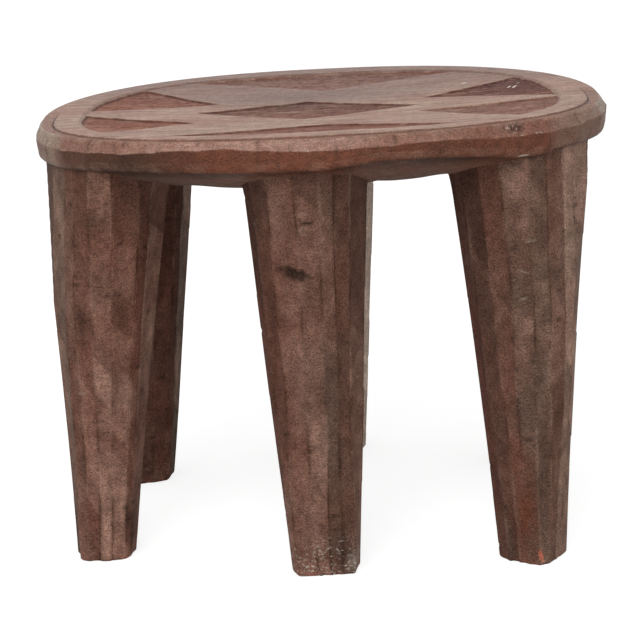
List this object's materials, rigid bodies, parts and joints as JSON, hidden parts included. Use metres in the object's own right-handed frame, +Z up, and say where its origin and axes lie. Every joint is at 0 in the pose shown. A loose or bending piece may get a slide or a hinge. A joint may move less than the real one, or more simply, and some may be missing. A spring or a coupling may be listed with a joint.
{
  "type": "carved wooden stool",
  "caption": "Low carved wooden stool: an egg-shaped, dished seat with recessed triangles and a lozenge, on thick tapering hewn legs.",
  "frame": {"origin": "on the floor, below the middle of the box round the stool", "axes": "+Z up, +Y to the back of the seat, +X to the right for someone who looks at the front"},
  "size_m": [0.388, 0.362, 0.298],
  "materials": {
    "seat_wood": "dark stained hardwood, waxed and rubbed paler on the raised carving",
    "leg_wood": "dark red-brown stained hardwood with long hewn facets"
  },
  "bodies": {
    "root": {"seat": "seat_wood", "leg_front_left": "leg_wood", "leg_front_middle": "leg_wood", "leg_front_right": "leg_wood", "leg_back_left": "leg_wood", "leg_back_middle": "leg_wood", "leg_back_right": "leg_wood"}
  },
  "joints": []
}
